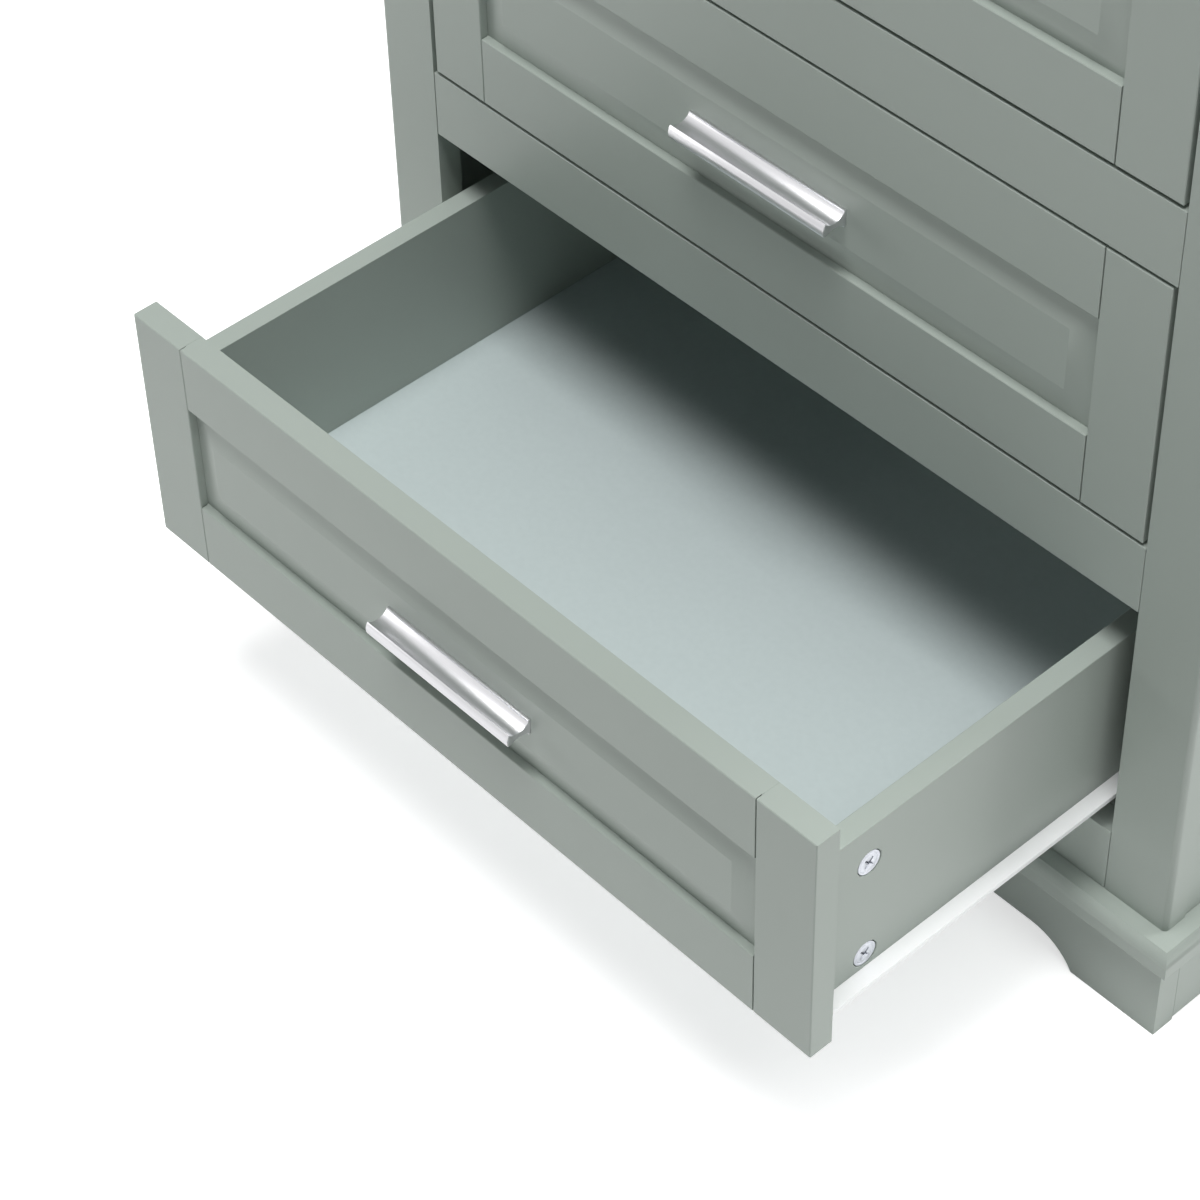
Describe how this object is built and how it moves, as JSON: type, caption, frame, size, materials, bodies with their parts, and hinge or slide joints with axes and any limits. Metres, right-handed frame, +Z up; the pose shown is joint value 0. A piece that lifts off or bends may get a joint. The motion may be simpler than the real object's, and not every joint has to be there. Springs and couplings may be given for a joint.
{
  "type": "tall cabinet",
  "caption": "Tall painted bathroom cabinet on an arched base: framed drawers on roller runners, the lowest standing open, under framed doors.",
  "frame": {"origin": "on the floor, at the middle of the back edge of the base", "axes": "+X to the right as seen from the front, +Y back to the wall, +Z up"},
  "size_m": [0.62, 0.6213, 1.698],
  "materials": {
    "sage_paint": "satin paint on wood",
    "drawer_board": "matt paint on board",
    "runner_epoxy": "white epoxy on steel",
    "roller_nylon": "moulded nylon",
    "zinc": "zinc plated",
    "handle_aluminium": "satin anodised",
    "catch_plastic": "moulded"
  },
  "bodies": {
    "carcass": {"front_posts": "sage_paint", "side_panels": "sage_paint", "back_panel": "sage_paint", "bottom_panel": "sage_paint", "middle_panel": "sage_paint", "top_panel": "sage_paint", "face_rails": "sage_paint", "adjustable_shelves": "sage_paint", "shelf_pins": "zinc", "plinth_boards": "sage_paint", "base_moulding": "sage_paint", "cornice": "sage_paint", "runner_battens": "sage_paint", "cabinet_runners": "runner_epoxy", "hinge_post_leaves": "zinc", "hinge_pins": "zinc", "magnetic_catches": "catch_plastic"},
    "lower_drawer": {"lower_drawer_front_stiles": "sage_paint", "lower_drawer_front_rails": "sage_paint", "lower_drawer_front_panel": "sage_paint", "lower_drawer_sides": "drawer_board", "lower_drawer_back": "drawer_board", "lower_drawer_bottom": "drawer_board", "lower_drawer_cam_fittings": "zinc", "lower_drawer_handle": "handle_aluminium", "lower_drawer_runners": "runner_epoxy"},
    "lower_drawer_rollers": {"lower_drawer_rollers": "roller_nylon"},
    "lower_cabinet_rollers": {"lower_cabinet_rollers": "roller_nylon"},
    "middle_drawer": {"middle_drawer_front_stiles": "sage_paint", "middle_drawer_front_rails": "sage_paint", "middle_drawer_front_panel": "sage_paint", "middle_drawer_sides": "drawer_board", "middle_drawer_back": "drawer_board", "middle_drawer_bottom": "drawer_board", "middle_drawer_cam_fittings": "zinc", "middle_drawer_handle": "handle_aluminium", "middle_drawer_runners": "runner_epoxy"},
    "middle_drawer_rollers": {"middle_drawer_rollers": "roller_nylon"},
    "middle_cabinet_rollers": {"middle_cabinet_rollers": "roller_nylon"},
    "upper_drawer": {"upper_drawer_front_stiles": "sage_paint", "upper_drawer_front_rails": "sage_paint", "upper_drawer_front_panel": "sage_paint", "upper_drawer_sides": "drawer_board", "upper_drawer_back": "drawer_board", "upper_drawer_bottom": "drawer_board", "upper_drawer_cam_fittings": "zinc", "upper_drawer_handle": "handle_aluminium", "upper_drawer_runners": "runner_epoxy"},
    "upper_drawer_rollers": {"upper_drawer_rollers": "roller_nylon"},
    "upper_cabinet_rollers": {"upper_cabinet_rollers": "roller_nylon"},
    "left_door": {"left_door_stiles": "sage_paint", "left_door_rails": "sage_paint", "left_door_panel": "sage_paint", "left_door_handle": "handle_aluminium", "left_door_fittings": "zinc"},
    "right_door": {"right_door_stiles": "sage_paint", "right_door_rails": "sage_paint", "right_door_panel": "sage_paint", "right_door_handle": "handle_aluminium", "right_door_fittings": "zinc"}
  },
  "joints": [
    {"name": "lower_drawer_slide", "type": "slide", "parent": "carcass", "child": "lower_drawer", "axis": [0, -1, 0], "range_m": [-0.212, 0.05]},
    {"name": "lower_cabinet_rollers_spin", "type": "hinge", "parent": "carcass", "child": "lower_cabinet_rollers", "pos_m": [0, -0.364, 0.1319], "axis": [1, 0, 0], "range_deg": [-1740, 415]},
    {"name": "lower_drawer_rollers_spin", "type": "hinge", "parent": "lower_drawer", "child": "lower_drawer_rollers", "pos_m": [0, -0.252, 0.1268], "axis": [1, 0, 0], "range_deg": [-1765, 420]},
    {"name": "middle_drawer_slide", "type": "slide", "parent": "carcass", "child": "middle_drawer", "axis": [0, -1, 0], "range_m": [0, 0.262]},
    {"name": "middle_cabinet_rollers_spin", "type": "hinge", "parent": "carcass", "child": "middle_cabinet_rollers", "pos_m": [0, -0.364, 0.3329], "axis": [1, 0, 0], "range_deg": [0, 2150]},
    {"name": "middle_drawer_rollers_spin", "type": "hinge", "parent": "middle_drawer", "child": "middle_drawer_rollers", "pos_m": [0, -0.04, 0.3278], "axis": [1, 0, 0], "range_deg": [0, 2180]},
    {"name": "upper_drawer_slide", "type": "slide", "parent": "carcass", "child": "upper_drawer", "axis": [0, -1, 0], "range_m": [0, 0.262]},
    {"name": "upper_cabinet_rollers_spin", "type": "hinge", "parent": "carcass", "child": "upper_cabinet_rollers", "pos_m": [0, -0.364, 0.5339], "axis": [1, 0, 0], "range_deg": [0, 2150]},
    {"name": "upper_drawer_rollers_spin", "type": "hinge", "parent": "upper_drawer", "child": "upper_drawer_rollers", "pos_m": [0, -0.04, 0.5288], "axis": [1, 0, 0], "range_deg": [0, 2180]},
    {"name": "left_door_swing", "type": "hinge", "parent": "carcass", "child": "left_door", "pos_m": [-0.2535, -0.3985, 1.1795], "axis": [0, 0, -1], "range_deg": [0, 110]},
    {"name": "right_door_swing", "type": "hinge", "parent": "carcass", "child": "right_door", "pos_m": [0.2535, -0.3985, 1.1795], "axis": [0, 0, 1], "range_deg": [0, 110]}
  ],
  "couplings": [
    {"joint": "lower_cabinet_rollers_spin", "follows": "lower_drawer_slide", "rad_per_m": 142.86},
    {"joint": "lower_drawer_rollers_spin", "follows": "lower_drawer_slide", "rad_per_m": 144.93},
    {"joint": "middle_cabinet_rollers_spin", "follows": "middle_drawer_slide", "rad_per_m": 142.86},
    {"joint": "middle_drawer_rollers_spin", "follows": "middle_drawer_slide", "rad_per_m": 144.93},
    {"joint": "upper_cabinet_rollers_spin", "follows": "upper_drawer_slide", "rad_per_m": 142.86},
    {"joint": "upper_drawer_rollers_spin", "follows": "upper_drawer_slide", "rad_per_m": 144.93}
  ]
}
